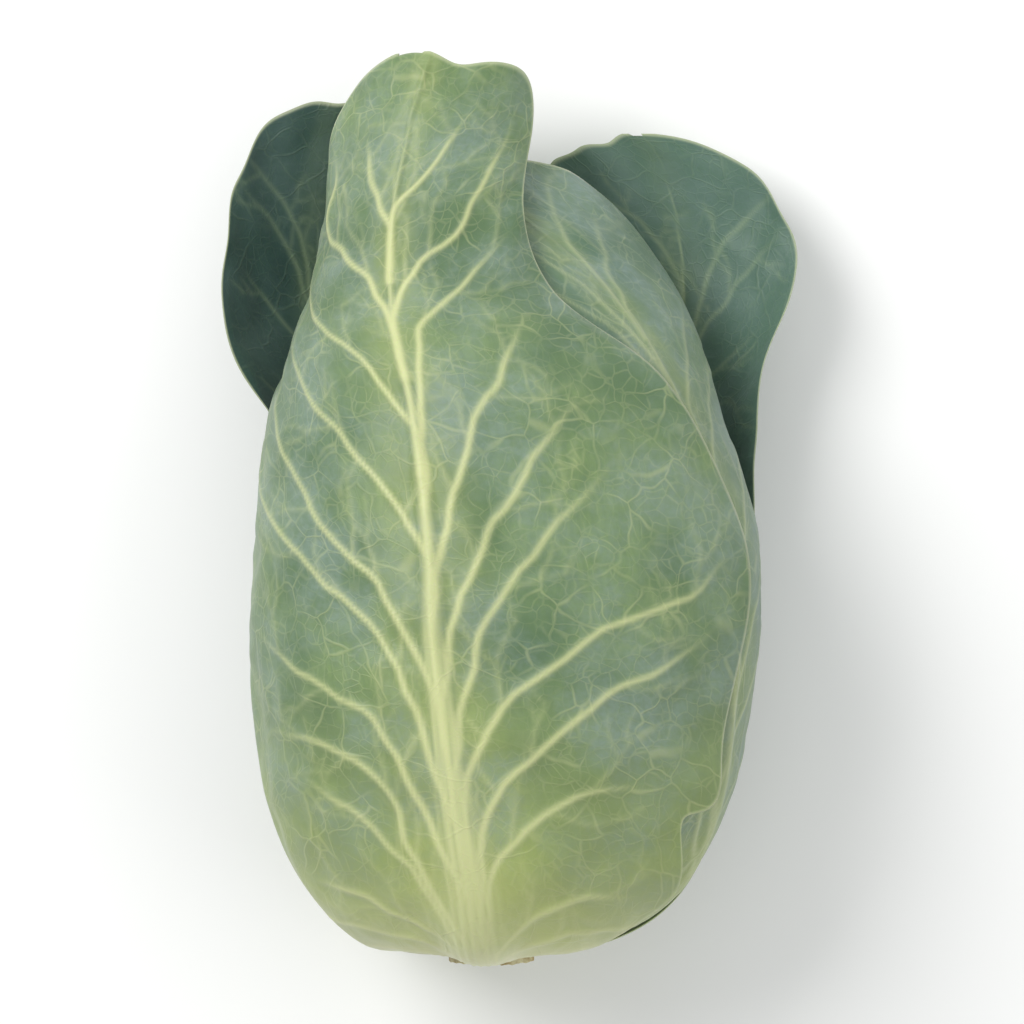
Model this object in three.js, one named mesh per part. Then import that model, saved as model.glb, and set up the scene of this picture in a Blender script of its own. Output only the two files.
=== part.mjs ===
// A pointed (sweetheart) cabbage lying on its side, as picked, with its loose wrapper leaves.
// Millimetres. +Y runs from the cut stalk to the tip, +X to the right, +Z up.
// The origin is on the surface that it lies on, under the middle of the cabbage.
//
// Every leaf is a curved sheet wrapped on a "former": a row of upright oval sections along the
// cabbage. A place on a leaf is (across, along) in a unit disc, so its outline is a soft rounded one,
// and the sheet is lifted off its former by as much as the leaves underneath it need.
import * as THREE from "three";
import { mergeVertices } from "three/addons/utils/BufferGeometryUtils.js";

// ---- Driving dimensions ------------------------------------------------------------------
const BLADE = 1.4; // thickness of a leaf blade
const RIB_HEIGHT = 5; // how far a midrib stands out of the blade near the stalk
const RIB_WIDTH = 8; // half-width of a midrib near the stalk
const RIB_TAPER = 0.85; // how much of a midrib is gone at the leaf's tip
const RIB_ROOT = 40; // the distance over which a midrib rises at the stalk
const STAND_OFF = 8; // how far outside its former a leaf's width is measured
const STALK_RADIUS = 15.5;
const STALK_START = -150; // the cut face
const STALK_END = -139.5;
const LEAF_START = 1; // where a leaf leaves the stalk, along its former
const FLOOR_GAP = 0.2; // how much the resting patch may thicken where a leaf is pressed flat
const CELLS_ACROSS = 14; // mesh cells over a leaf
const CELLS_ALONG = 22;
const HEART_RINGS = 26;
const HEART_SIDES = 32;
const STALK_SIDES = 28;
const CHAMFER = 1; // at the edge of the cut face

// The firm head: [distance along the surface from the stalk, x, y, z, half width, half height].
const HEAD = [
  [0, -6, -137, 64, 15, 15],
  [21, -6, -132, 65, 36, 30],
  [46, -6, -117, 66, 55, 42],
  [76, -6, -90, 66.5, 66, 48.5],
  [116, -6, -50, 66.5, 70, 50],
  [156, -7, -11, 64.5, 68, 48],
  [197, -13, 28, 58, 59, 41.5],
  [235, -20, 64, 50.5, 43, 34],
  [268, -25, 92, 46.5, 27, 24],
  [300, -28, 114, 45.5, 1, 1],
];
const FULL_GIRTH = 156; // the distance at which the head starts to narrow to its tip

// The head's own rows as far as a station, for a leaf that clasps it that far, widened by up to
// `widen` where the leaf stands away from the head's sides.
const clasp = (lastStation, widen = 0) =>
  HEAD.filter((row) => row[0] <= lastStation).map(([s, x, y, z, wide, high]) => {
    const share = Math.min(s / FULL_GIRTH, 1);
    return [s, x, y, z, wide + widen * share, high];
  });

// Each leaf has its former's rows, as for the head, and rows of
//   layout [distance, turn of the midrib from straight up in degrees, half width in the disc],
//   lift [distance, left, middle, right], and
//   lobes [direction from the tip in degrees, size as a share of the leaf, spread in degrees].
const LEAVES = [
  {
    name: "head_leaf_left",
    colour: 0xa9bd8a,
    length: 318,
    rib: 0.2,
    former: [...clasp(235), [268, -25, 93, 46.5, 28, 25], [300, -28, 118, 45.5, 15, 14], [318, -29, 133, 44.5, 10, 9]],
    layout: [[0, -70, 110], [46, -70, 80], [156, -60, 86], [235, -45, 78], [268, -35, 60], [318, -20, 45]],
    lift: [[0, 1.7, 1.7, 1.7], [46, 2, 2, 2], [318, 2, 2, 2]],
  },
  {
    name: "head_leaf_right",
    colour: 0x9fb583,
    length: 312,
    rib: 0.2,
    former: [...clasp(235), [268, -25, 93, 46.5, 28, 25], [300, -28, 117, 45.5, 15, 14], [312, -29, 128, 44.5, 11, 10]],
    layout: [[0, 60, 110], [46, 60, 80], [156, 50, 88], [235, 55, 78], [268, 60, 60], [312, 60, 45]],
    lift: [[0, 3.7, 3.7, 3.7], [46, 4.4, 4.4, 4.4], [312, 4.4, 4.4, 4.4]],
  },
  {
    name: "left_back_leaf",
    colour: 0x4f6b60,
    length: 313,
    rib: 0.4,
    former: [
      ...clasp(156),
      [197, -14, 29, 57.5, 60, 42],
      [235, -26.5, 64, 60, 72, 45],
      [268, -32.5, 96, 65, 79, 46],
      [300, -40, 128, 73, 84, 46],
      [318, -42, 145, 78, 86, 46],
    ],
    layout: [
      [0, -125, 110],
      [46, -132, 70],
      [116, -138, 64],
      [156, -144, 56],
      [197, -150, 48],
      [235, -150, 50],
      [268, -156, 52],
      [318, -170, 58],
    ],
    lift: [[0, 5, 5, 5], [46, 6.2, 6.2, 6.2], [197, 6.2, 6.2, 6.2], [235, 4, 3, 4], [318, 4, 0, 0]],
    lobes: [[-62, 0.04, 12], [-35, -0.05, 16], [-82, -0.03, 12]],
  },
  {
    name: "right_wrapper_leaf",
    colour: 0x86a085,
    length: 300,
    rib: 0.5,
    former: [
      ...clasp(156, 14),
      [197, -8, 28, 53, 73, 46],
      [235, -18, 64, 44, 72, 39],
      [268, -16, 92, 36, 54, 33],
      [300, -8, 117, 31, 28, 27],
    ],
    layout: [[0, 85, 110], [46, 82, 80], [116, 82, 80], [156, 80, 80], [197, 74, 74], [235, 64, 64], [268, 48, 58], [300, 20, 58]],
    lift: [[0, 6, 6, 6], [46, 7.6, 7.6, 7.6], [235, 7.6, 7.6, 7.6], [300, 5, 5, 5]],
    lobes: [[55, -0.03, 20]],
  },
  {
    name: "right_back_leaf",
    colour: 0x5b7a63,
    length: 312,
    rib: 0.4,
    former: [
      ...clasp(156, 14),
      [197, -2, 27, 57.5, 76, 43],
      [235, 18, 61, 58, 74, 45],
      [268, 34.5, 92, 65, 77, 50],
      [300, 42, 120, 73, 79, 52],
      [312, 43, 130, 76, 80, 52],
    ],
    layout: [
      [0, 130, 110],
      [46, 136, 66],
      [116, 142, 64],
      [156, 144, 64],
      [197, 144, 54],
      [235, 146, 48],
      [268, 160, 66],
      [300, 172, 84],
      [312, 178, 100],
    ],
    lift: [
      [0, 9.8, 9.2, 8.6],
      [46, 20, 12, 11],
      [76, 18, 11.8, 11],
      [116, 13, 11.6, 11],
      [156, 16, 13, 11],
      [197, 14, 12, 9],
      [235, 6, 5, 4],
      [312, 2, 0, 0],
    ],
    lobes: [[-32, -0.05, 18], [8, -0.015, 6]],
  },
  {
    name: "underside_leaf",
    colour: 0x7d9a6e,
    length: 300,
    rib: 0.4,
    former: [...clasp(197), [235, -15, 64, 50, 50, 36], [268, -10, 94, 55, 60, 42], [300, -8, 124, 63, 70, 46]],
    layout: [[0, 184, 110], [46, 184, 72], [116, 186, 58], [156, 190, 44], [197, 192, 34], [235, 187, 28], [300, 180, 40]],
    lift: [[0, 13.8, 13.2, 12.4], [46, 18.6, 15.8, 14], [156, 18.8, 16, 14], [197, 17, 16, 14], [235, 13, 13, 13], [300, 8, 6, 8]],
  },
  {
    name: "front_leaf",
    colour: 0x8aa37c,
    length: 324,
    rib: 1,
    former: [
      ...clasp(156),
      [197, -12, 30, 57.5, 58, 45],
      [235, -18, 66, 50, 42, 38],
      [268, -22, 98, 46, 33, 34],
      [300, -20, 128, 40, 34, 30],
      [324, -16, 150, 36, 35, 28],
    ],
    layout: [
      [0, -6, 110],
      [46, -9, 96],
      [116, -14, 96],
      [156, -17, 96],
      [197, -22, 82],
      [235, -32, 66],
      [268, -27, 64],
      [300, -17, 77],
      [324, -16, 84],
    ],
    lift: [
      [0, 8, 10.5, 10.5],
      [46, 9, 11.5, 16],
      [116, 9, 11.5, 22],
      [156, 9, 11.5, 24],
      [197, 9, 11.5, 22],
      [235, 7.5, 10, 14],
      [268, 7.5, 7.5, 10],
      [324, 8, 8, 8],
    ],
    lobes: [[24, 0.05, 10], [-35, -0.03, 14], [8, -0.02, 5]],
  },
];

// ---- Shape functions ---------------------------------------------------------------------
// Smooth interpolation of a table's columns: the first column is the distance.
function sample(table, at) {
  let i = 0;
  while (i < table.length - 2 && at > table[i + 1][0]) i++;
  const [before, from, to, after] = [-1, 0, 1, 2].map(
    (k) => table[Math.min(Math.max(i + k, 0), table.length - 1)],
  );
  const step = to[0] - from[0];
  const t = Math.min(Math.max((at - from[0]) / step, 0), 1);
  const slope = (a, b, column) => (a === b ? 0 : (b[column] - a[column]) / (b[0] - a[0]));
  return from.slice(1).map((_, k) => {
    const c = k + 1;
    const m0 = slope(before, to, c) * step;
    const m1 = slope(from, after, c) * step;
    const rise = to[c] - from[c];
    return from[c] + t * (m0 + t * (3 * rise - 2 * m0 - m1 + t * (m0 + m1 - 2 * rise)));
  });
}

// The point of a former at an angle from straight up, positive towards +X.
function onFormer(former, along, angle) {
  const [x, y, z, wide, high] = sample(former, along);
  return new THREE.Vector3(x + wide * Math.sin(angle), y, z + high * Math.cos(angle));
}

function outward(former, along, angle) {
  const step = 0.5;
  const a = Math.max(along - step, 0);
  const alongSurface = onFormer(former, a + 2 * step, angle).sub(onFormer(former, a, angle));
  const acrossSurface = onFormer(former, along, angle + 0.01).sub(onFormer(former, along, angle - 0.01));
  return acrossSurface.cross(alongSurface).normalize();
}

// Square grid place (u, v), each -1 to 1, to a place in the unit disc.
const inDisc = (u, v) => [u * Math.sqrt(1 - (v * v) / 2), v * Math.sqrt(1 - (u * u) / 2)];

const degrees = Math.PI / 180;

// Pushes the margin of the disc out or in at each lobe, and leaves its middle alone.
function lobed([p, q], lobes) {
  const direction = Math.atan2(p, q) / degrees;
  const reach = Math.hypot(p, q) ** 3;
  const bump = lobes.reduce((sum, [at, size, spread]) => sum + size * Math.exp(-(((direction - at) / spread) ** 2)), 0);
  return [p * (1 + bump * reach), q * (1 + bump * reach)];
}

// The leaf's middle surface and its outward normal at a grid place, and its midrib's height there.
function leafPlace(leaf, u, v) {
  const [p, q] = lobed(inDisc(u, v), leaf.lobes ?? []);
  const along = LEAF_START + ((q + 1) / 2) * (leaf.length - LEAF_START);
  const [turn, halfWidth] = sample(leaf.layout, along);
  const [, , , wide, high] = sample(leaf.former, along);
  const across = p * halfWidth;
  const angle = turn * degrees + across / ((wide + high) / 2 + STAND_OFF);
  const [left, middle, right] = sample(leaf.lift, along);
  const lift = middle + Math.abs(p) ** 1.5 * ((p < 0 ? left : right) - middle);
  const normal = outward(leaf.former, along, angle);
  const place = onFormer(leaf.former, along, angle).addScaledVector(normal, lift);
  const taper = 1 - RIB_TAPER * Math.min(along / leaf.length, 1);
  const rooted = Math.min(0.3 + along / RIB_ROOT, 1);
  const rib = leaf.rib * RIB_HEIGHT * rooted * taper * Math.exp(-((across / (RIB_WIDTH * taper)) ** 2));
  return { place, normal, rib };
}

// A closed sheet: an outer face with the midrib on it, an inner face, and a rim that joins them.
function leafSolid(leaf) {
  const rows = CELLS_ALONG + 1;
  const columns = CELLS_ACROSS + 1;
  const positions = [];
  const push = (point, floor) => positions.push(point.x, point.y, Math.max(point.z, floor));
  for (const side of [1, -1]) {
    for (let j = 0; j < rows; j++) {
      for (let i = 0; i < columns; i++) {
        const { place, normal, rib } = leafPlace(leaf, (2 * i) / CELLS_ACROSS - 1, (2 * j) / CELLS_ALONG - 1);
        const reach = side > 0 ? BLADE / 2 + rib : -BLADE / 2;
        push(place.addScaledVector(normal, reach), side > 0 ? 0 : BLADE + FLOOR_GAP);
      }
    }
  }
  const indices = [];
  const quad = (a, b, c, d) => indices.push(a, b, c, a, c, d);
  const inner = rows * columns;
  for (let j = 0; j < CELLS_ALONG; j++) {
    for (let i = 0; i < CELLS_ACROSS; i++) {
      const a = j * columns + i;
      quad(a, a + 1, a + columns + 1, a + columns);
      quad(inner + a, inner + a + columns, inner + a + columns + 1, inner + a + 1);
    }
  }
  for (let i = 0; i < CELLS_ACROSS; i++) {
    const top = CELLS_ALONG * columns + i;
    quad(i + 1, i, inner + i, inner + i + 1);
    quad(top, top + 1, inner + top + 1, inner + top);
  }
  for (let j = 0; j < CELLS_ALONG; j++) {
    const left = j * columns;
    const right = left + CELLS_ACROSS;
    quad(left, left + columns, inner + left + columns, inner + left);
    quad(right + columns, right, inner + right, inner + right + columns);
  }
  const geometry = new THREE.BufferGeometry();
  geometry.setAttribute("position", new THREE.Float32BufferAttribute(positions, 3));
  geometry.setIndex(indices);
  return geometry;
}

// A closed body through oval rings, with a point at each end.
function ringSolid(rings, sides) {
  const positions = [];
  const indices = [];
  for (const ring of rings) {
    for (let k = 0; k < sides; k++) {
      const point = ring((2 * Math.PI * k) / sides);
      positions.push(point.x, point.y, point.z);
    }
  }
  const centre = (ring) => ring(0).add(ring(Math.PI)).multiplyScalar(0.5);
  const first = positions.length / 3;
  positions.push(...centre(rings[0]), ...centre(rings[rings.length - 1]));
  for (let r = 0; r < rings.length - 1; r++) {
    for (let k = 0; k < sides; k++) {
      const a = r * sides + k;
      const b = r * sides + ((k + 1) % sides);
      indices.push(a, b, b + sides, a, b + sides, a + sides);
    }
  }
  const last = (rings.length - 1) * sides;
  for (let k = 0; k < sides; k++) {
    const next = (k + 1) % sides;
    indices.push(first, next, k, first + 1, last + k, last + next);
  }
  const geometry = new THREE.BufferGeometry();
  geometry.setAttribute("position", new THREE.Float32BufferAttribute(positions, 3));
  geometry.setIndex(indices);
  return mergeVertices(geometry, 1e-3);
}

function heartSolid() {
  const length = HEAD[HEAD.length - 1][0];
  const rings = Array.from({ length: HEART_RINGS }, (_, r) => {
    const along = (length * r) / (HEART_RINGS - 1);
    return (angle) => onFormer(HEAD, along, angle);
  });
  return ringSolid(rings, HEART_SIDES);
}

function stalkSolid() {
  const [, x, , z] = HEAD[0];
  const steps = [
    [STALK_START, STALK_RADIUS - CHAMFER],
    [STALK_START + CHAMFER, STALK_RADIUS],
    [STALK_END, STALK_RADIUS - CHAMFER],
  ];
  const rings = steps.map(
    ([y, radius]) =>
      (angle) => new THREE.Vector3(x + radius * Math.sin(angle), y, z + radius * Math.cos(angle)),
  );
  return ringSolid(rings, STALK_SIDES);
}

// ---- The cabbage -------------------------------------------------------------------------
const WAXY = 0.55;

function piece(name, geometry, colour) {
  geometry.computeVertexNormals();
  const material = new THREE.MeshStandardMaterial({ color: colour, roughness: WAXY, metalness: 0 });
  const mesh = new THREE.Mesh(geometry, material);
  mesh.name = name;
  return mesh;
}

const cabbage = new THREE.Group();
cabbage.add(piece("heart", heartSolid(), 0xb7c995));
cabbage.add(piece("stalk", stalkSolid(), 0xe3dfc4));
for (const leaf of LEAVES) cabbage.add(piece(leaf.name, leafSolid(leaf), leaf.colour));

// The origin goes under the middle of the whole cabbage.
const box = new THREE.Box3().setFromObject(cabbage);
const middle = box.getCenter(new THREE.Vector3());
for (const mesh of cabbage.children) mesh.geometry.translate(-middle.x, -middle.y, -box.min.z);

export default cabbage;
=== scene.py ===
# %% [markdown]
# # A pointed cabbage
#
# A pointed cabbage is a cone of tightly packed leaves on a short thick stalk, and it is cut and sold
# with a few loose wrapper leaves still on it. It lies on its side here, with one tall wrapper leaf
# over the top, one round its right side, and dark back leaves that splay open behind its tip.
#
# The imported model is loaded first, as a fixed frame. Every leaf here is a finer version of a solid in
# it, made on the same form, so nothing has to be fitted afterwards.

# %% Load the frame
import math
import random

import bmesh
import bpy
import numpy as np
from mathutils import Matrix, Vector, noise


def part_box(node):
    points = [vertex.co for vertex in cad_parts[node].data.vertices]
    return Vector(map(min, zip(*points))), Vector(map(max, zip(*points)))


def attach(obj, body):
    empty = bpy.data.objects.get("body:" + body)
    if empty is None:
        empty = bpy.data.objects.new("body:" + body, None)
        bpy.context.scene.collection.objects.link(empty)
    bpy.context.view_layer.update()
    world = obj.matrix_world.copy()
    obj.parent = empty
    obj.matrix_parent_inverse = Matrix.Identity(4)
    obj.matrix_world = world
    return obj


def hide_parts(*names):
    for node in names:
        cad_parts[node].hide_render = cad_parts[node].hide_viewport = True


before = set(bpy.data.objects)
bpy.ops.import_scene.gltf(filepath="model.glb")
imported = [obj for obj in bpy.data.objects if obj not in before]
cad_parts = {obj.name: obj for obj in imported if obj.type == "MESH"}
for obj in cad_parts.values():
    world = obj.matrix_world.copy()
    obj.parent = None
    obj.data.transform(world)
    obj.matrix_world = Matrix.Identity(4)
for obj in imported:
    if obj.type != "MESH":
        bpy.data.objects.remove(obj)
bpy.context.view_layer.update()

# %% [markdown]
# ## Form of the head
#
# Leaves wrap round the head, so one form serves for all of them: a row of upright oval sections from
# the stalk to the tip. A row holds the distance along the surface, the middle's x, y and z, and the
# half width and half height. Everything is in millimetres until it becomes a mesh.
#
# The sections could be lofted with curves, but a formula that gives the point at any distance and
# angle is more use, because a leaf can then be laid anywhere on it.

# %% The head's sections
HEAD = [
    [0, -6, -137, 64, 15, 15],
    [21, -6, -132, 65, 36, 30],
    [46, -6, -117, 66, 55, 42],
    [76, -6, -90, 66.5, 66, 48.5],
    [116, -6, -50, 66.5, 70, 50],
    [156, -7, -11, 64.5, 68, 48],
    [197, -13, 28, 58, 59, 41.5],
    [235, -20, 64, 50.5, 43, 34],
    [268, -25, 92, 46.5, 27, 24],
    [300, -28, 114, 45.5, 1, 1],
]
FULL_GIRTH = 156  # the distance at which the head starts to narrow to its tip
STAND_OFF = 8  # how far outside its form a leaf's width is measured


def clasp(last_station, widen=0):
    """The head's own rows as far as a station, widened where a leaf stands away from its sides."""
    rows = [row for row in HEAD if row[0] <= last_station]
    return [row[:4] + [row[4] + widen * min(row[0] / FULL_GIRTH, 1), row[5]] for row in rows]


# %% [markdown]
# Between two rows the values follow a smooth cubic, with each row's slope taken from its neighbours.
# It works on whole arrays of distances, because a leaf has tens of thousands of points.


# %% Smooth values between rows
def between(rows, at):
    """The columns after the first, at each distance in `at`."""
    table = np.array(rows, float)
    last = len(table) - 1
    i = np.clip(np.searchsorted(table[:, 0], at, side="left") - 1, 0, last - 1)
    before, first, second, after = (table[np.clip(i + k, 0, last)] for k in (-1, 0, 1, 2))
    step = (second[:, :1] - first[:, :1])
    t = np.clip((np.asarray(at)[:, None] - first[:, :1]) / step, 0, 1)
    rise = second - first
    m0 = (second - before) / (second[:, :1] - before[:, :1]) * step
    m1 = (after - first) / (after[:, :1] - first[:, :1]) * step
    values = first + t * (m0 + t * (3 * rise - 2 * m0 - m1 + t * (m0 + m1 - 2 * rise)))
    return values[:, 1:]


def on_form(form, along, angle):
    """Points of a form at angles from straight up, positive towards +X."""
    x, y, z, wide, high = between(form, along).T
    return np.column_stack([x + wide * np.sin(angle), y, z + high * np.cos(angle)])


def outward(form, along, angle):
    """Unit normals of a form, away from its middle."""
    a = np.maximum(along - 0.5, 0)
    lengthways = on_form(form, a + 1, angle) - on_form(form, a, angle)
    crossways = on_form(form, along, angle + 0.01) - on_form(form, along, angle - 0.01)
    normal = np.cross(crossways, lengthways)
    return normal / np.linalg.norm(normal, axis=1)[:, None]


# %% [markdown]
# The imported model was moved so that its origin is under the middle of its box. The tip end of the
# heart is compared with the form here, which gives that small move.

# %% Where the form sits in the frame
STATIONS, SIDES = 26, 32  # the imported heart's own rings
ring, turn = np.meshgrid(np.linspace(0, HEAD[-1][0], STATIONS), np.arange(SIDES) * 2 * np.pi / SIDES)
heart_low = np.array(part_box("heart")[0]) * 1000
SHIFT = heart_low - on_form(HEAD, ring.ravel(), turn.ravel()).min(axis=0)
print("the form is moved by", SHIFT.round(2), "mm")

# %% [markdown]
# ## Form of a leaf
#
# A leaf is a flat sheet first: a square grid squeezed into a disc, whose two directions are across
# and along the leaf. Its outline is that disc, made wider or narrower along its length, with lobes
# pushed out or in at its margin. Then it is laid on its form, each point at its own angle, and lifted
# off by as much as the leaves beneath it need.
#
# In each recipe, `layout` holds the distance, the midrib's turn from straight up in degrees, and the
# half width. `lift` holds the distance and the height off the form at the left margin, the middle and
# the right. `lobes` holds a direction from the tip in degrees, a size and a spread. `crimp` is how
# wavy the margin is in the leaf's own plane, and `ripple` how many millimetres it waves out of it.
# `curls` are places where the margin turns up: a direction, a height in millimetres and a spread.

# %% Recipes of the leaves that show most
FRONT = {
    "seed": 3,
    "length": 324,
    "rib": 1.0,
    "crimp": 0.008,
    "ripple": 1.6,
    "swell": 1.5,
    "form": clasp(156)
    + [
        [197, -12, 30, 57.5, 58, 45],
        [235, -18, 66, 50, 42, 38],
        [268, -22, 98, 46, 33, 34],
        [300, -20, 128, 40, 34, 30],
        [324, -16, 150, 36, 35, 28],
    ],
    "layout": [
        [0, -6, 110],
        [46, -9, 96],
        [116, -14, 96],
        [156, -17, 96],
        [197, -22, 82],
        [235, -32, 66],
        [268, -27, 64],
        [300, -17, 77],
        [324, -16, 84],
    ],
    "lift": [
        [0, 8, 10.5, 10.5],
        [46, 9, 11.5, 16],
        [116, 9, 11.5, 22],
        [156, 9, 11.5, 24],
        [197, 9, 11.5, 22],
        [235, 7.5, 10, 14],
        [268, 7.5, 7.5, 10],
        [324, 8, 8, 8],
    ],
    "lobes": [[24, 0.05, 10], [-35, -0.03, 14], [8, -0.02, 5], [128, -0.07, 3.5], [-60, -0.015, 5]],
    "curls": [[122, 5, 5], [134, 4, 5], [100, 2.5, 9], [78, 2, 7], [-150, 3, 8]],
}

RIGHT_WRAPPER = {
    "seed": 5,
    "length": 300,
    "rib": 0.5,
    "rib_tint": 0.6,
    "midrib_aside": -22,
    "crimp": 0.008,
    "ripple": 1.0,
    "form": clasp(156, 14)
    + [
        [197, -8, 28, 53, 73, 46],
        [235, -18, 64, 44, 72, 39],
        [268, -16, 92, 36, 54, 33],
        [300, -8, 117, 31, 28, 27],
    ],
    "layout": [
        [0, 85, 110],
        [46, 82, 80],
        [116, 82, 80],
        [156, 80, 80],
        [197, 74, 74],
        [235, 64, 64],
        [268, 48, 58],
        [300, 20, 58],
    ],
    "lift": [[0, 6, 6, 6], [46, 7.6, 7.6, 7.6], [235, 7.6, 7.6, 7.6], [300, 5, 5, 5]],
    "lobes": [[55, -0.03, 20]],
}

RIGHT_BACK = {
    "seed": 8,
    "length": 312,
    "rib": 0.4,
    "crimp": 0.012,
    "ripple": 2.2,
    "form": clasp(156, 14)
    + [
        [197, -2, 27, 57.5, 76, 43],
        [235, 18, 61, 58, 74, 45],
        [268, 34.5, 92, 65, 77, 50],
        [300, 42, 120, 73, 79, 52],
        [312, 43, 130, 76, 80, 52],
    ],
    "layout": [
        [0, 136, 110],
        [46, 146, 62],
        [116, 153, 60],
        [156, 153, 60],
        [197, 148, 54],
        [235, 146, 48],
        [268, 160, 66],
        [300, 172, 84],
        [312, 178, 100],
    ],
    "lift": [
        [0, 9.8, 9.2, 8.6],
        [46, 12.5, 12, 11],
        [76, 11.8, 11.8, 11],
        [116, 10.8, 11.6, 11],
        [156, 11.5, 12, 11],
        [197, 12.5, 12, 9],
        [235, 6, 5, 4],
        [312, 2, 0, 0],
    ],
    "lobes": [[-32, -0.05, 18], [8, -0.025, 4], [26, 0.02, 6]],
}

LEFT_BACK = {
    "seed": 13,
    "length": 313,
    "rib": 0.4,
    "rib_tint": 0.5,
    "crimp": 0.022,
    "ripple": 2.4,
    "form": clasp(156)
    + [
        [197, -14, 29, 57.5, 60, 42],
        [235, -26.5, 64, 60, 72, 45],
        [268, -32.5, 96, 65, 79, 46],
        [300, -40, 128, 73, 84, 46],
        [318, -42, 145, 78, 86, 46],
    ],
    "layout": [
        [0, -125, 110],
        [46, -132, 70],
        [116, -138, 64],
        [156, -144, 56],
        [197, -150, 48],
        [235, -150, 50],
        [268, -156, 52],
        [318, -170, 58],
    ],
    "lift": [
        [0, 5, 5, 5],
        [46, 6.2, 6.2, 6.2],
        [197, 6.2, 6.2, 6.2],
        [235, 4, 3, 4],
        [318, 4, 0, 0],
    ],
    "lobes": [[-62, 0.04, 12], [-35, -0.05, 16], [-82, -0.03, 12], [-57, -0.05, 2.5], [-40, 0.025, 3.5], [-70, -0.03, 3]],
    "curls": [[-57, 3, 4], [-70, 2.5, 4], [-30, 2, 6]],
}

# %% Recipes of the leaves beneath
UNDERSIDE = {
    "seed": 21,
    "length": 300,
    "rib": 0.4,
    "crimp": 0.01,
    "ripple": 1.0,
    "form": clasp(197) + [[235, -15, 64, 50, 50, 36], [268, -10, 94, 55, 60, 42], [300, -8, 124, 63, 70, 46]],
    "layout": [
        [0, 184, 110],
        [46, 184, 72],
        [116, 186, 58],
        [156, 190, 44],
        [197, 192, 34],
        [235, 187, 28],
        [300, 180, 40],
    ],
    "lift": [
        [0, 13.8, 13.2, 12.4],
        [46, 18.6, 15.8, 14],
        [156, 18.8, 16, 14],
        [197, 17, 16, 14],
        [235, 13, 13, 13],
        [300, 8, 6, 8],
    ],
}

HEAD_LEFT = {
    "seed": 34,
    "length": 318,
    "rib": 0.2,
    "ripple": 0.4,
    "form": clasp(235) + [[268, -25, 93, 46.5, 28, 25], [300, -28, 118, 45.5, 15, 14], [318, -29, 133, 44.5, 10, 9]],
    "layout": [[0, -70, 110], [46, -70, 80], [156, -60, 86], [235, -45, 78], [268, -35, 60], [318, -20, 45]],
    "lift": [[0, 1.7, 1.7, 1.7], [46, 2, 2, 2], [318, 2, 2, 2]],
}

HEAD_RIGHT = {
    "seed": 55,
    "length": 312,
    "rib": 0.2,
    "ripple": 0.4,
    "form": clasp(235) + [[268, -25, 93, 46.5, 28, 25], [300, -28, 117, 45.5, 15, 14], [312, -29, 128, 44.5, 11, 10]],
    "layout": [[0, 60, 110], [46, 60, 80], [156, 50, 88], [235, 55, 78], [268, 60, 60], [312, 60, 45]],
    "lift": [[0, 3.7, 3.7, 3.7], [46, 4.4, 4.4, 4.4], [312, 4.4, 4.4, 4.4]],
}

# %% [markdown]
# The margin of a real leaf is never one clean curve, so a few waves go round it, in the plane of the
# leaf and out of it. Their phases are drawn from the leaf's seed, so that each leaf keeps its own.


# %% Lay a leaf's points on its form
MARGIN_WAVES = (5, 9, 14, 23)  # how many times each wave goes round a leaf's margin


def waves(direction, seed):
    """A repeatable wave of about -1 to 1 round a margin, from directions in radians."""
    draw = random.Random(seed)
    sizes = [1 / (n + 1.5) for n in range(len(MARGIN_WAVES))]
    turns = [count * direction + draw.uniform(0, 2 * math.pi) for count in MARGIN_WAVES]
    return sum(size * np.sin(turned) for size, turned in zip(sizes, turns)) / 1.2


def leaf_points(leaf, u, v):
    """The middle surface, its normal, and the flat place in millimetres, of grid points u, v."""
    p = u * np.sqrt(1 - v * v / 2)
    q = v * np.sqrt(1 - u * u / 2)
    direction = np.arctan2(p, q)
    reach = np.hypot(p, q)
    bump = leaf.get("crimp", 0) * waves(direction, leaf["seed"]) * np.clip(1.2 + q, 0, 1)
    for at, size, spread in leaf.get("lobes", []):
        bump = bump + size * np.exp(-(((np.degrees(direction) - at) / spread) ** 2))
    p = p * (1 + bump * reach**3)
    q = q * (1 + bump * reach**3)
    along = 1 + (q + 1) / 2 * (leaf["length"] - 1)
    turned, half_width = between(leaf["layout"], along).T
    *_, wide, high = between(leaf["form"], along).T
    across = p * half_width
    angle = np.radians(turned) + across / ((wide + high) / 2 + STAND_OFF)
    left, middle, right = between(leaf["lift"], along).T
    lift = middle + np.abs(p) ** 1.5 * (np.where(p < 0, left, right) - middle)
    lift = lift + leaf["ripple"] * waves(direction, leaf["seed"] + 1) * reach**6 * np.clip(0.7 + q, 0, 1)
    for at, size, spread in leaf.get("curls", []):
        lift = lift + size * reach**9 * np.exp(-(((np.degrees(direction) - at) / spread) ** 2))
    normal = outward(leaf["form"], along, angle)
    place = on_form(leaf["form"], along, angle) + normal * lift[:, None] + SHIFT
    return place, normal, across, along, reach


# %% [markdown]
# ## Veins
#
# The veins are what make a cabbage leaf. A broad midrib fans out at the stalk, side veins run beside
# it before they arc away towards the margin, each one forks, and a fine net fills the rest. The net
# is left to the material. The midrib, side veins and forks are real ridges here, so that they catch
# the light, and they are kept as a mask as well, which the material colours.
#
# A route is a short list of flat places (across, along) in millimetres, listed for the front
# leaf and worked out for the others, and smoothed by the same cubic as the sections.


# %% Vein routes
ROOT_RUN = 20  # millimetres that a side vein runs inside the midrib before it leaves
THINNEST = 1.0  # half width in millimetres: a finer one is lost between the mesh's points


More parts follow.
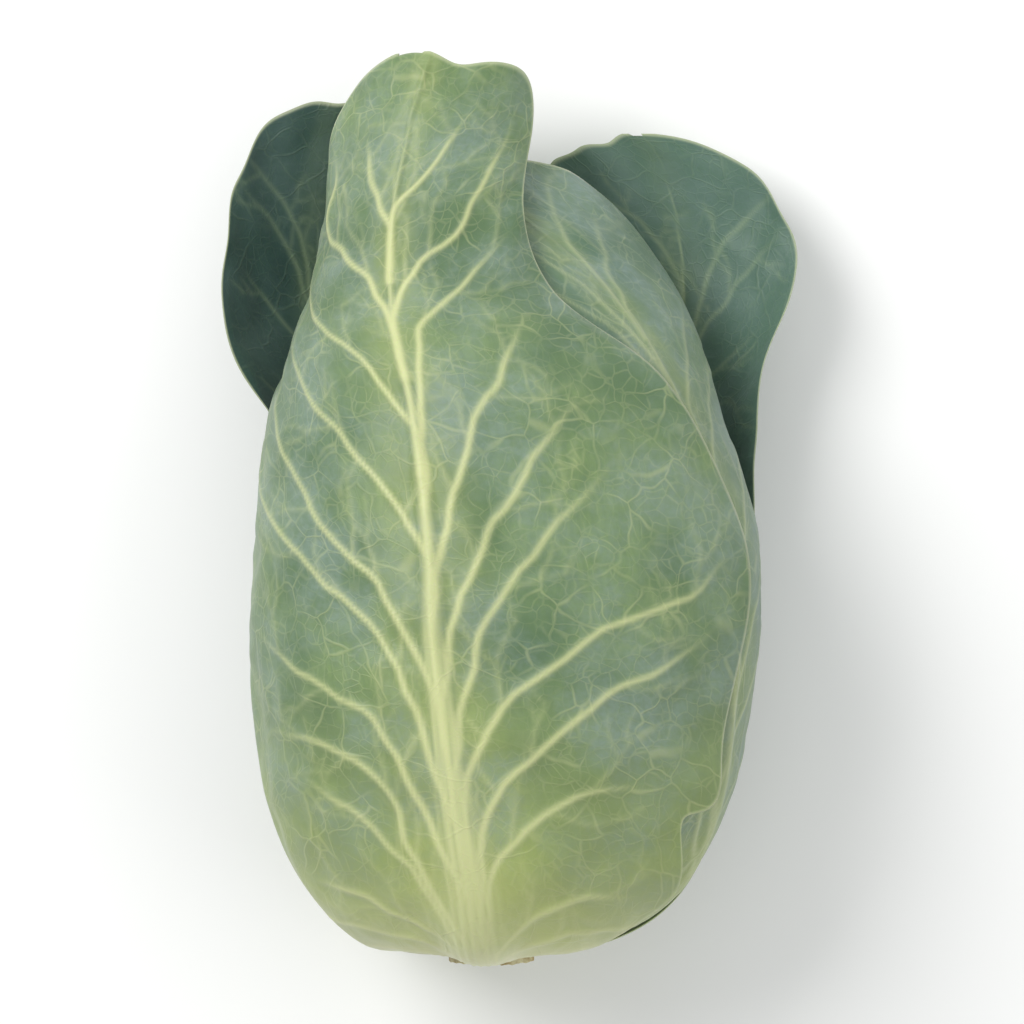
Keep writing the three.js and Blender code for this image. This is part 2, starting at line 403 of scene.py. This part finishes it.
def route(points, steps=28):
    """Smooth points through a vein's few places, with the small wander that a grown thing has."""
    rows = [[i, *point] for i, point in enumerate(points)]
    line = between(rows, np.linspace(0, len(points) - 1, steps))
    wander = [[noise.noise((x / 11, y / 11, 4.0)), noise.noise((x / 11, y / 11, 9.0))] for x, y in line]
    ends = np.sin(np.linspace(0, math.pi, steps))[:, None]
    return line + 2.2 * ends * np.array(wander)


def vein(points, wide, high, end=0.3):
    """A vein's route, with its half width, its height and how strong its colour is at each point."""
    line = route(points)
    thin = np.linspace(1, end, len(line)) ** 1.2
    fade = np.clip(np.linspace(5, 0, len(line)), 0, 1)
    return line, np.maximum(wide * thin, THINNEST), high * thin * fade, (0.35 + 0.65 * thin) * fade * min(high, 1)


def forks(parent, side, draw, count, length):
    """Side branches that leave a vein towards the leaf's tip and bend the same way."""
    line, wide, high, _ = parent
    made = []
    for n in range(count):
        i = int(len(line) * (0.28 + 0.62 * (n + draw.uniform(0.2, 0.8)) / count))
        i = min(i, len(line) - 4)
        heading = math.atan2(*(line[i + 2] - line[i - 2]))
        turned = heading - side * math.radians(draw.uniform(30, 55)) * (-1 if n % 3 == 2 else 1)
        reach = length * draw.uniform(0.6, 1.15) * (1 - 0.3 * n / count)
        points = [line[i]]
        for step in range(3):
            turned += side * math.radians(draw.uniform(-8, 20))
            points.append(points[-1] + reach / 3 * np.array([math.sin(turned), math.cos(turned)]))
        made.append(vein(points, wide[i] * 0.6, max(high[i] * 0.6, 0.3), 0.35))
    return made


def rooted(points, midrib):
    """A side vein's route, begun lower down in the middle of the midrib, so that it parts from it gently."""
    low = max(points[0][1] - ROOT_RUN, 1)
    across, along = np.array(midrib, float).T
    return [(float(np.interp(low, along, across)), low), *points]


def branched(main, side, draw, count, length):
    """A vein with its forks, and a fork or two on each of those."""
    first = forks(main, side, draw, count, length)
    second = [small for fork in first for small in forks(fork, side, draw, 2, length * 0.5)]
    return [main, *first, *second]


FRONT_MIDRIB = [(0, 0), (4, 46), (2, 125), (8, 235), (3, 274), (0, 300), (2, 322)]
FRONT_SIDES = [
    [(-5, 9), (-22, 18), (-46, 21), (-70, 18)],
    [(-5, 15), (-24, 28), (-50, 35), (-80, 34)],
    [(6, 9), (24, 18), (46, 21), (70, 17)],
    [(6, 14), (26, 27), (52, 33), (80, 31)],
    [(-3, 22), (-16, 34), (-34, 46), (-56, 50)],
    [(-5, 34), (-13, 57), (-28, 71), (-52, 86)],
    [(-6, 44), (-12, 63), (-20, 83), (-40, 93), (-66, 95)],
    [(-4, 66), (-12, 89), (-22, 103), (-46, 116), (-74, 131)],
    [(-2, 88), (-11, 120), (-30, 143), (-60, 168), (-80, 190)],
    [(0, 112), (-12, 141), (-31, 162), (-50, 192), (-64, 214)],
    [(3, 150), (-12, 180), (-32, 204), (-56, 238)],
    [(6, 186), (-8, 214), (-28, 232), (-52, 262)],
    [(7, 226), (-1, 244), (-17, 255), (-30, 265), (-27, 280), (-34, 296)],
    [(3, 262), (-8, 278), (-16, 296)],
    [(6, 18), (18, 34), (36, 44), (58, 46)],
    [(6, 30), (10, 52), (22, 67), (40, 78), (66, 80)],
    [(6, 44), (12, 73), (27, 90), (48, 108), (68, 117), (88, 132)],
    [(5, 62), (10, 89), (21, 106), (50, 128), (77, 138), (92, 154)],
    [(4, 80), (9, 106), (18, 132), (38, 158), (66, 184)],
    [(4, 112), (14, 146), (34, 176), (60, 206)],
    [(6, 150), (18, 182), (34, 206), (50, 230)],
    [(8, 196), (16, 222), (30, 240), (46, 262)],
    [(9, 232), (15, 246), (27, 261), (32, 280), (35, 308)],
    [(4, 266), (13, 281), (18, 302)],
]


def front_veins():
    draw = random.Random(FRONT["seed"])
    veins = []
    for points in FRONT_SIDES:
        side = 1 if points[-1][0] > 3 else -1
        main = vein(rooted(points, FRONT_MIDRIB), 1.4, 0.95, 0.4)
        veins += branched(main, side, draw, 4, 34)
    return FRONT_MIDRIB, veins


def side_veins(leaf, pairs, wide, high):
    """Side veins for a leaf with no list of its own: pairs that leave a straight midrib and arc outwards."""
    draw = random.Random(leaf["seed"])
    length = leaf["length"]
    aside = leaf.get("midrib_aside", 0)
    bends = [aside + draw.uniform(-3, 3), aside + draw.uniform(-4, 4)]
    midrib = [(0, 0), (bends[0], length * 0.35), (bends[1], length * 0.7), (aside, length * 0.98)]
    veins = []
    for n in range(pairs):
        for side in (-1, 1):
            share = (n + draw.uniform(0.2, 0.8) + (0.35 if side > 0 else 0)) / pairs
            start = length * (0.07 + 0.76 * share)
            reach = float(between(leaf["layout"], [min(start + 45, length)])[0][1]) * (1 - 0.35 * share)
            climb = 22 + 52 * (1 - share) + 26 * share
            points = [
                (aside + side * 2.5, start),
                (aside + side * reach * 0.18, start + climb * 0.42),
                (aside + side * reach * 0.5, start + climb * 0.78),
                (aside + side * reach * 0.95, start + climb * 1.12),
            ]
            main = vein(rooted(points, midrib), wide, high * (1 - 0.3 * share), 0.3)
            veins += branched(main, side, draw, 3, 34 * (1 - 0.4 * share))
    return midrib, veins


# %% [markdown]
# Height and colour both come from how far a point is from the nearest vein. Only the points near a
# vein are measured, because a leaf has about fifty thousand points and a hundred veins.


# %% Distance to the veins
def near_line(across, along, line, *columns):
    """Each point's distance to a line over its half width there, and the line's other values there."""
    best = np.full(len(across), 99.0)
    found = np.zeros((len(columns) - 1, len(across)))
    values = np.array(columns)
    for n in range(len(line) - 1):
        a, step = line[n], line[n + 1] - line[n]
        t = np.clip(((across - a[0]) * step[0] + (along - a[1]) * step[1]) / max(step @ step, 1e-9), 0, 1)
        here = values[:, n, None] + t * (values[:, n + 1, None] - values[:, n, None])
        away = np.hypot(across - a[0] - t * step[0], along - a[1] - t * step[1]) / here[0]
        closer = away < best
        best[closer] = away[closer]
        found[:, closer] = here[1:, closer]
    return best, *found


def vein_relief(across, along, veins):
    """Height of the side veins and forks in millimetres, and a mask of 0 to 1 for their colour."""
    relief = np.zeros(len(across))
    mask = np.zeros(len(across))
    for line, wide, high, strong in veins:
        margin = 4 * wide.max()
        low, top = line.min(axis=0) - margin, line.max(axis=0) + margin
        close = (across > low[0]) & (across < top[0]) & (along > low[1]) & (along < top[1])
        if not close.any():
            continue
        away, height, strength = near_line(across[close], along[close], line, wide, high, strong)
        crest = np.exp(-((away / 1.15) ** 2)) + 0.2 * np.exp(-((away / 2.8) ** 2))
        tint = 0.72 * np.exp(-((away / 1.08) ** 2)) + 0.26 * np.exp(-((away / 2.4) ** 2))
        relief[close] = np.maximum(relief[close], height * crest)
        mask[close] = np.maximum(mask[close], strength * tint)
    return relief, mask


# %% [markdown]
# The midrib is 18 mm broad at the stalk, 6 mm in the middle of the leaf and 1 mm at the tip. It is a bundle, so fine ridges run
# along it, and it rises over the first few centimetres from where the leaf clasps the stalk.

# %% Midrib
RIB_HEIGHT, RIB_TAPER, RIB_ROOT = 5, 0.85, 40
RIB_HALF_WIDTHS = [[0, 11], [0.14, 8.5], [0.26, 5.2], [0.4, 3.1], [0.55, 1.9], [0.75, 1.15], [0.9, 0.75], [1, 0.6]]
STRAND = 2.7  # millimetres between the fine ridges of a midrib


def midrib_relief(leaf, across, along, midrib):
    """Height of the midrib, its colour mask, and how far each point is from its middle."""
    line = np.array(midrib, float)
    middle = np.interp(along, line[:, 1], line[:, 0])
    off = across - middle
    taper = 1 - RIB_TAPER * np.clip(along / leaf["length"], 0, 1)
    rooted = np.clip(0.3 + along / RIB_ROOT, 0, 1)
    shares, halves = np.array(RIB_HALF_WIDTHS).T
    wide = np.interp(along / leaf["length"], shares, halves) * (0.55 + 0.45 * leaf["rib"])
    crest = np.exp(-((np.abs(off) / wide) ** 2.2))
    strand = np.cos(2 * np.pi * off / STRAND + 0.5 * np.sin(along / 30)) * np.clip(wide / 3 - 0.6, 0, 1)
    height = leaf["rib"] * RIB_HEIGHT * rooted * taper * crest * (1 + 0.07 * strand)
    height = np.minimum(height, 1.1 * wide)
    mask = np.exp(-((np.abs(off) / (wide * 0.9)) ** 2.2)) * (0.8 + 0.2 * strand)
    mask = mask * np.interp(along / leaf["length"], [0, 0.6, 0.85, 1], [1, 0.95, 0.6, 0.15]) * leaf.get("rib_tint", 1)
    return height, mask, off


# %% [markdown]
# ## Making a leaf
#
# The sheet starts as `create_grid`, flat, and `solidify` gives it a second face and a rim while it is
# still flat, when that can't go wrong. Then every point is moved to its place on the leaf: the outer
# face carries the ribs, and the inner one only shallow grooves over them. The blade thins towards the
# margin, and swells a little between the veins, as a leaf does that grew faster than its veins.
#
# The flat place of each point goes into the UV map, 400 mm to one unit, and the masks into point
# attributes, so the material follows the leaf however it is bent.

# %% Leaf maker
BLADE = 0.9  # millimetres, in the middle of a leaf
UV_SPAN = 400  # millimetres to one UV unit


def noisy(points, size, seed):
    """Smooth noise of about -1 to 1 at flat places, with features of a size in millimetres."""
    return np.array([noise.noise((x / size, y / size, seed)) for x, y in points])


def make_leaf(name, leaf, cells, veins):
    midrib, sides = veins
    bm = bmesh.new()
    bmesh.ops.create_grid(bm, x_segments=cells[0], y_segments=cells[1], size=1)
    bmesh.ops.solidify(bm, geom=bm.faces[:], thickness=0.01)
    flat = np.array([vert.co for vert in bm.verts])
    heights = flat[:, 2]
    side = np.where(heights > (heights.min() + heights.max()) / 2, 1.0, -1.0)
    u, v = (np.clip(flat[:, k], -1, 1) for k in (0, 1))
    place, normal, across, along, reach = leaf_points(leaf, u, v)

    relief, mask = vein_relief(across, along, sides)
    rib, rib_mask, off = midrib_relief(leaf, across, along, midrib)
    edge = np.clip((1 - reach) * 20, 0, 1)
    places = np.column_stack([across, along])
    swell = noisy(places, 21, leaf["seed"]) + 0.5 * noisy(places, 9, leaf["seed"] + 0.5)
    swell = leaf.get("swell", 0.75) * swell * edge * (1 - rib_mask) * (1 - 0.6 * mask)
    half = BLADE / 2 * (0.3 + 0.7 * np.sqrt(edge))
    ribs = np.maximum(rib, relief) * (0.25 + 0.75 * edge)
    outer = half + ribs
    inner = -half + 0.3 * np.minimum(relief, 1) + 0.15 * rib
    place = place + normal * (swell + np.where(side > 0, outer, inner))[:, None]
    place[:, 2] = np.maximum(place[:, 2], np.where(side > 0, 0, BLADE))
    for vert, co in zip(bm.verts, place / 1000):
        vert.co = co

    bmesh.ops.recalc_face_normals(bm, faces=bm.faces[:])
    uv = bm.loops.layers.uv.new("leaf")
    bm.verts.index_update()
    for face in bm.faces:
        face.smooth = True
        for loop in face.loops:
            i = loop.vert.index
            loop[uv].uv = (0.5 + across[i] / UV_SPAN, along[i] / UV_SPAN)
    mesh = bpy.data.meshes.new(name)
    bm.to_mesh(mesh)
    bm.free()
    ends = np.clip(along / leaf["length"], 0, 1)
    attributes = {
        "vein": np.maximum(mask, rib_mask),
        "inner": (side < 0).astype(float),
        "along": ends,
        "margin": reach,
        "halo": np.exp(-((off / (6 + 26 * (1 - ends))) ** 2)),
    }
    for key, values in attributes.items():
        layer = mesh.attributes.new(key, "FLOAT", "POINT")
        layer.data.foreach_set("value", values.astype(np.float32))
    piece = bpy.data.objects.new(name, mesh)
    bpy.context.scene.collection.objects.link(piece)
    print(name, len(mesh.polygons) * 2, "triangles, rises to", round(place[:, 2].max(), 1), "mm")
    return piece


# %% [markdown]
# ## Materials
#
# Colours are chosen as sRGB hex values, and Blender's sockets take linear ones, so one function turns
# them. Another adds a node with its settings and links. A link is another node's output, and anything
# else sets the socket's value.


# %% Colour and node helpers
def linear(hex_colour):
    parts = [int(hex_colour[i : i + 2], 16) / 255 for i in (1, 3, 5)]
    return (*[c / 12.92 if c <= 0.04045 else ((c + 0.055) / 1.055) ** 2.4 for c in parts], 1)


def add(tree, kind, inputs=None, **settings):
    """Adds a node. `inputs` maps a socket's name or number to a value or another node's output."""
    node = tree.nodes.new(kind)
    for key, value in settings.items():
        setattr(node, key, value)
    for key, value in (inputs or {}).items():
        if isinstance(value, bpy.types.NodeSocket):
            tree.links.new(value, node.inputs[key])
        else:
            node.inputs[key].default_value = value
    return node


def blend(tree, factor, first, second, mode="MIX"):
    """One colour over another."""
    mixed = add(tree, "ShaderNodeMix", {0: factor, 6: first, 7: second}, data_type="RGBA", blend_type=mode)
    return mixed.outputs[2]


def remap(tree, value, low, high, to_low=0, to_high=1):
    """Stretches low..high to to_low..to_high, smoothly and clamped."""
    sockets = {"Value": value, "From Min": low, "From Max": high, "To Min": to_low, "To Max": to_high}
    return add(tree, "ShaderNodeMapRange", sockets, interpolation_type="SMOOTHSTEP").outputs["Result"]


def attribute(tree, name):
    return add(tree, "ShaderNodeAttribute", attribute_name=name).outputs["Fac"]


def maths(tree, operation, first, second):
    return add(tree, "ShaderNodeMath", {0: first, 1: second}, operation=operation).outputs[0]


# %% [markdown]
# A cabbage leaf is living tissue under a coat of wax. The wax is matt and blue-grey, and it lies in
# drifts that rub off, so two greens show through it unevenly. The veins are cream with no wax. Near
# the stalk the whole leaf turns yellow-green, and the last millimetre of the margin is dry and pale.
# The net of fine veins has meshes of about 8 mm with others of about 3 mm inside them.


# %% Leaf material
def leaf_material(name, green, deep, wax, pale, cream, inner, wax_share, net_share):
    material = bpy.data.materials.new(name)
    material.use_nodes = True
    tree = material.node_tree
    tree.nodes.clear()
    uv = add(tree, "ShaderNodeUVMap", uv_map="leaf").outputs["UV"]
    flat = add(tree, "ShaderNodeMapping", {"Vector": uv, "Scale": (UV_SPAN, UV_SPAN, 1)}).outputs["Vector"]
    vein_mask, along, margin = (attribute(tree, key) for key in ("vein", "along", "margin"))
    halo, inside = attribute(tree, "halo"), attribute(tree, "inner")

    def cloud(size, detail=3, rough=0.55, at=flat):
        return add(
            tree, "ShaderNodeTexNoise", {"Vector": at, "Scale": 1 / size, "Detail": detail, "Roughness": rough}
        ).outputs["Fac"]

    wander = add(tree, "ShaderNodeTexNoise", {"Vector": flat, "Scale": 1 / 10, "Detail": 1}).outputs["Color"]
    bent = add(
        tree, "ShaderNodeVectorMath", {0: wander, 1: (6, 6, 0), 2: flat}, operation="MULTIPLY_ADD"
    ).outputs[0]

    def net(size, low, high):
        cell = add(
            tree, "ShaderNodeTexVoronoi", {"Vector": bent, "Scale": 1 / size}, feature="DISTANCE_TO_EDGE"
        ).outputs["Distance"]
        return remap(tree, cell, low, high, 1, 0)

    coarse = maths(tree, "MULTIPLY", net(12, 0.004, 0.04), remap(tree, cloud(18, 2), 0.35, 0.65, 0.1, 0.8))
    fine = maths(tree, "MULTIPLY", net(4.2, 0.0, 0.08), remap(tree, cloud(12, 2), 0.3, 0.7, 0.1, 0.5))
    lines = maths(tree, "MAXIMUM", coarse, fine)
    stretched = add(tree, "ShaderNodeMapping", {"Vector": bent, "Scale": (1, 0.12, 1)}).outputs["Vector"]
    streak = remap(tree, cloud(1.5, 3, 0.6, stretched), 0.35, 0.65)

    colour = blend(tree, remap(tree, cloud(46, 4), 0.36, 0.64), linear(green), linear(deep))
    colour = blend(tree, remap(tree, cloud(5, 4), 0.4, 0.75, 0, 0.4), colour, linear(deep))
    colour = blend(tree, maths(tree, "MULTIPLY", streak, 0.3), colour, linear(deep))
    young = maths(tree, "ADD", remap(tree, along, 0.0, 0.4, 0.9, 0), remap(tree, halo, 0.3, 1, 0, 0.3))
    colour = blend(tree, young, colour, linear(pale))
    drift = remap(tree, cloud(30, 5, 0.62), 0.38, 0.68, 0.1, 1)
    smear = remap(tree, cloud(2.2, 3), 0.3, 0.7, 0.6, 1)
    waxed = maths(tree, "MULTIPLY", maths(tree, "MULTIPLY", drift, smear), wax_share)
    waxed = maths(tree, "MULTIPLY", waxed, remap(tree, along, 0.02, 0.35, 0.35, 1))
    colour = blend(tree, waxed, colour, linear(wax))
    colour = blend(tree, maths(tree, "MULTIPLY", lines, net_share), colour, linear(cream))
    colour = blend(tree, maths(tree, "MULTIPLY", inside, 0.85), colour, blend(tree, 0.75, colour, linear(inner)))
    crest = remap(tree, vein_mask, 0.02, 0.95)
    colour = blend(tree, maths(tree, "MULTIPLY", crest, 0.9), colour, linear(cream))
    colour = blend(tree, remap(tree, along, 0.02, 0.2, 0.6, 0), colour, linear(cream))
    colour = blend(tree, remap(tree, along, 0.015, 0.09, 0.85, 0), colour, linear("#dcdab4"))
    scar = maths(tree, "MULTIPLY", remap(tree, along, 0.012, 0.035, 1, 0), remap(tree, cloud(7, 4), 0.5, 0.62))
    colour = blend(tree, maths(tree, "MULTIPLY", scar, 0.7), colour, linear("#a08a55"))
    dry = remap(tree, margin, 0.988, 1.0, 0, 0.5)
    colour = blend(tree, dry, colour, linear("#c9cda6"))

    height = maths(tree, "MULTIPLY", lines, 0.35)
    height = maths(tree, "ADD", height, maths(tree, "MULTIPLY", cloud(1.1, 2), 0.12))
    bump = add(tree, "ShaderNodeBump", {"Height": height, "Strength": 0.55, "Distance": 0.0006})
    rough = remap(tree, waxed, 0, 1, 0.44, 0.62)
    shader = add(
        tree,
        "ShaderNodeBsdfPrincipled",
        {
            "Base Color": colour,
            "Roughness": rough,
            "IOR": 1.42,
            "Specular IOR Level": 0.42,
            "Subsurface Weight": 0.12,
            "Subsurface Radius": (0.6, 1.0, 0.3),
            "Subsurface Scale": 0.0012,
            "Sheen Weight": 0.12,
            "Sheen Roughness": 0.6,
            "Normal": bump.outputs["Normal"],
        },
    )
    add(tree, "ShaderNodeOutputMaterial", {"Surface": shader.outputs["BSDF"]})
    return material


# %% [markdown]
# Five finishes serve the seven leaves. The wrapper leaves show their waxy grey-green outer face, and
# the one at the side is bluer. The back leaves lie open, so their darker blue-green inner face shows,
# with thin veins, and the left one is much the darker. The leaves of the head itself grew in half
# light and are paler and fresher.

# %% The five leaf finishes
WAXY_WRAPPER = leaf_material(
    "waxy_wrapper_leaf", "#6f8653", "#4f6a45", "#7b8e84", "#9faa5f", "#c6ca92", "#566f55", 0.72, 0.26
)
WAXY_SIDE = leaf_material(
    "waxy_side_leaf", "#68805a", "#4d6a50", "#788c86", "#9aa763", "#b4bc8f", "#566f55", 0.85, 0.3
)
DARK_FACE = leaf_material(
    "dark_back_leaf", "#3f5c4a", "#2c473f", "#6d827f", "#8a9c62", "#93a57c", "#24403a", 0.5, 0.25
)
OPEN_FACE = leaf_material(
    "open_back_leaf", "#5d7a58", "#4a6850", "#7b9088", "#94a566", "#a9b98c", "#48655a", 0.75, 0.3
)
PALE_HEAD = leaf_material(
    "pale_head_leaf", "#8ba35a", "#6f8d4c", "#8fa387", "#b1bb6c", "#cfd3a0", "#7f985c", 0.4, 0.28
)

# %% [markdown]
# ## The leaves
#
# The front leaf is the one that shows most, so it gets the finest grid and the veins whose routes are
# listed one by one. The others make do with fewer cells where they are half hidden.

# %% Make the leaves
ALL_LEAVES = [
    ["front_leaf", FRONT, (176, 264), front_veins(), WAXY_WRAPPER, "wrapper_leaf"],
    ["right_wrapper_leaf", RIGHT_WRAPPER, (150, 220), side_veins(RIGHT_WRAPPER, 8, 1.25, 0.8), WAXY_SIDE, "wrapper_leaf"],
    ["right_back_leaf", RIGHT_BACK, (140, 220), side_veins(RIGHT_BACK, 8, 1.1, 0.7), OPEN_FACE, "dark_leaf"],
    ["left_back_leaf", LEFT_BACK, (130, 220), side_veins(LEFT_BACK, 8, 1.1, 0.7), DARK_FACE, "dark_leaf"],
    ["underside_leaf", UNDERSIDE, (110, 190), side_veins(UNDERSIDE, 7, 1.4, 1.0), WAXY_WRAPPER, "wrapper_leaf"],
    ["head_leaf_left", HEAD_LEFT, (100, 170), side_veins(HEAD_LEFT, 7, 1.4, 0.8), PALE_HEAD, "head_leaf"],
    ["head_leaf_right", HEAD_RIGHT, (100, 170), side_veins(HEAD_RIGHT, 7, 1.4, 0.8), PALE_HEAD, "head_leaf"],
]
for name, leaf, cells, veins, finish, slot in ALL_LEAVES:
    piece = make_leaf(name + "_sheet", leaf, cells, veins)
    piece.data.materials.append(finish)
    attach(piece, "root")
    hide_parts(name)

# %% [markdown]
# ## The heart
#
# The heart shows only in the gaps between leaves and at the tip. It starts as a sphere, which is laid
# on the head's form, and it gets broad swirled swellings and a few thin leaf edges that wind round it.


# %% Heart
def make_heart():
    bm = bmesh.new()
    bmesh.ops.create_uvsphere(bm, u_segments=120, v_segments=160, radius=1)
    ball = np.array([vert.co for vert in bm.verts])
    share = np.arccos(np.clip(-ball[:, 2], -1, 1)) / np.pi
    angle = np.arctan2(ball[:, 0], ball[:, 1])
    along = share * HEAD[-1][0]
    wound = angle + 2.2 * share
    edges = sum(np.exp(-(((np.mod(wound - start, 2 * np.pi)) / 0.5))) for start in (0.4, 2.3, 4.4))
    places = np.column_stack([angle * 60, along])
    relief = 0.9 * (edges - 0.5) + 0.5 * noisy(places, 24, 2.0) - 0.9
    relief = relief * np.sin(np.pi * share) ** 0.5
    place = on_form(HEAD, along, angle) + outward(HEAD, along, angle) * relief[:, None] + SHIFT
    for vert, co in zip(bm.verts, place / 1000):
        vert.co = co
    bmesh.ops.recalc_face_normals(bm, faces=bm.faces[:])
    uv = bm.loops.layers.uv.new("leaf")
    bm.verts.index_update()
    for face in bm.faces:
        face.smooth = True
        for loop in face.loops:
            i = loop.vert.index
            loop[uv].uv = (0.5 + angle[i] * 60 / UV_SPAN, along[i] / UV_SPAN)
    mesh = bpy.data.meshes.new("heart_leaves")
    bm.to_mesh(mesh)
    bm.free()
    strands = np.exp(-((np.sin(3 * wound) / (0.1 + 0.25 * (1 - share))) ** 2))
    for key, values in {"vein": 0.7 * strands, "inner": 0 * share, "along": share, "margin": 0 * share, "halo": strands}.items():
        layer = mesh.attributes.new(key, "FLOAT", "POINT")
        layer.data.foreach_set("value", values.astype(np.float32))
    piece = bpy.data.objects.new("heart_leaves", mesh)
    bpy.context.scene.collection.objects.link(piece)
    return piece


heart = make_heart()
heart.data.materials.append(PALE_HEAD)
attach(heart, "root")
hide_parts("heart")

# %% [markdown]
# ## The stalk
#
# The stalk was cut with a knife across its full width. The cut face is not quite flat: the knife left
# fine ridges, the woody ring stands a little proud, and the rim is torn. It browns from the edge in.


# %% Stalk material
def stalk_material():
    material = bpy.data.materials.new("cut_stalk")
    material.use_nodes = True
    tree = material.node_tree
    tree.nodes.clear()
    place = add(tree, "ShaderNodeTexCoord").outputs["Object"]

    def cloud(size, detail):
        return add(tree, "ShaderNodeTexNoise", {"Vector": place, "Scale": 1000 / size, "Detail": detail}).outputs["Fac"]

    ring = attribute(tree, "ring")
    colour = blend(tree, cloud(6, 4), linear("#e6e2c4"), linear("#d2d0a0"))
    woody = remap(tree, ring, 0.55, 0.72)
    colour = blend(tree, maths(tree, "MULTIPLY", woody, 0.5), colour, linear("#c3b783"))
    browned = maths(tree, "MULTIPLY", remap(tree, ring, 0.8, 1), remap(tree, cloud(4, 5), 0.35, 0.6))
    colour = blend(tree, maths(tree, "MULTIPLY", browned, 0.75), colour, linear("#9c8450"))
    bump = add(tree, "ShaderNodeBump", {"Height": cloud(1.2, 4), "Strength": 0.6, "Distance": 0.0006})
    sockets = {
        "Base Color": colour,
        "Roughness": 0.62,
        "IOR": 1.4,
        "Subsurface Weight": 0.15,
        "Subsurface Radius": (1.0, 0.9, 0.5),
        "Subsurface Scale": 0.002,
        "Normal": bump.outputs["Normal"],
    }
    shader = add(tree, "ShaderNodeBsdfPrincipled", sockets)
    add(tree, "ShaderNodeOutputMaterial", {"Surface": shader.outputs["BSDF"]})
    return material


# %% Stalk
def make_stalk():
    low, high = (np.array(corner) * 1000 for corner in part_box("stalk"))
    middle, half = (low + high) / 2, (high - low) / 2
    bm = bmesh.new()
    bmesh.ops.create_uvsphere(bm, u_segments=96, v_segments=96, radius=1)
    ball = np.array([vert.co for vert in bm.verts])
    angle = np.arctan2(ball[:, 0], ball[:, 1])
    out = np.hypot(ball[:, 0], ball[:, 1])
    rise = ball[:, 2]
    # A sphere squared off to a drum, whose radius grows first and whose ends are flat.
    drum = np.minimum(1, out * 1.5)
    length = np.clip(rise * 1.35, -1, 1)
    radius = half[0] * (0.93 + 0.03 * np.sin(5 * angle) + 0.03 * np.sin(2 * angle + 1))
    radius = radius * (1 + 0.02 * np.cos(17 * angle))
    x = middle[0] + radius * drum * np.sin(angle)
    z = middle[2] + radius * drum * np.cos(angle)
    scars = 0.35 * np.array([noise.noise((a * 0.7, b * 0.7, 3.0)) for a, b in zip(x, z)])
    knife = 0.15 * np.sin(x * 1.9 + 0.4 * z) + 0.4 * np.exp(-(((drum - 0.66) / 0.1) ** 2))
    y = middle[1] + half[1] * length * 0.94
    y = np.where(length < 0, y - knife - scars, y)
    y = np.maximum(y, low[1])
    for vert, co in zip(bm.verts, np.column_stack([x, y, z]) / 1000):
        vert.co = co
    bmesh.ops.recalc_face_normals(bm, faces=bm.faces[:])
    for face in bm.faces:
        face.smooth = True
    mesh = bpy.data.meshes.new("stalk_stump")
    bm.to_mesh(mesh)
    bm.free()
    layer = mesh.attributes.new("ring", "FLOAT", "POINT")
    layer.data.foreach_set("value", drum.astype(np.float32))
    piece = bpy.data.objects.new("stalk_stump", mesh)
    bpy.context.scene.collection.objects.link(piece)
    return piece


stalk = make_stalk()
stalk.data.materials.append(stalk_material())
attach(stalk, "root")
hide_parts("stalk")

# %% [markdown]
# ## Studio
#
# A pale floor, a soft sky of even light, and three large soft lamps: one from the upper left that
# models the ribs, one that fills from the right, and a weak one from behind the tip.


# %% Floor and lights
def make_floor():
    bm = bmesh.new()
    bmesh.ops.create_grid(bm, x_segments=1, y_segments=1, size=3)
    mesh = bpy.data.meshes.new("floor")
    bm.to_mesh(mesh)
    bm.free()
    floor = bpy.data.objects.new("floor", mesh)
    bpy.context.scene.collection.objects.link(floor)
    material = bpy.data.materials.new("pale_board")
    material.use_nodes = True
    shader = material.node_tree.nodes["Principled BSDF"]
    shader.inputs["Base Color"].default_value = linear("#f3f3f1")
    shader.inputs["Roughness"].default_value = 0.9
    mesh.materials.append(material)


def make_lamp(name, place, power, size):
    lamp = bpy.data.objects.new(name, bpy.data.lights.new(name, "AREA"))
    lamp.data.energy = power
    lamp.data.size = size
    lamp.location = place
    lamp.rotation_euler = (Vector((0, 0, 0.05)) - Vector(place)).to_track_quat("-Z", "Y").to_euler()
    bpy.context.scene.collection.objects.link(lamp)


make_floor()
make_lamp("key_lamp", (-0.75, 0.55, 1.1), 14, 0.7)
make_lamp("fill_lamp", (0.95, -0.2, 0.9), 4, 1.0)
make_lamp("back_lamp", (0.1, 1.3, 0.7), 3, 0.8)

world = bpy.data.worlds.new("studio")
bpy.context.scene.world = world
world.use_nodes = True
world.node_tree.nodes["Background"].inputs["Color"].default_value = linear("#f4f6f8")
world.node_tree.nodes["Background"].inputs["Strength"].default_value = 0.62

# %% [markdown]
# The camera looks straight down, with the tip at the top of the picture. The lens is long, so the
# front leaf isn't drawn larger than the leaves beneath it by more than a few parts in a hundred.

# %% Camera
LENS, SENSOR = 135, 36
FIELD = 0.343  # metres across the picture, at the height of the widest outline
OUTLINE_HEIGHT = 0.06
camera = bpy.data.objects.new("camera", bpy.data.cameras.new("camera"))
camera.data.lens = LENS
camera.data.sensor_width = SENSOR
camera.location = (0.0009, -0.001, OUTLINE_HEIGHT + FIELD * LENS / SENSOR)
bpy.context.scene.collection.objects.link(camera)
bpy.context.scene.camera = camera
bpy.context.scene.view_settings.view_transform = "Standard"
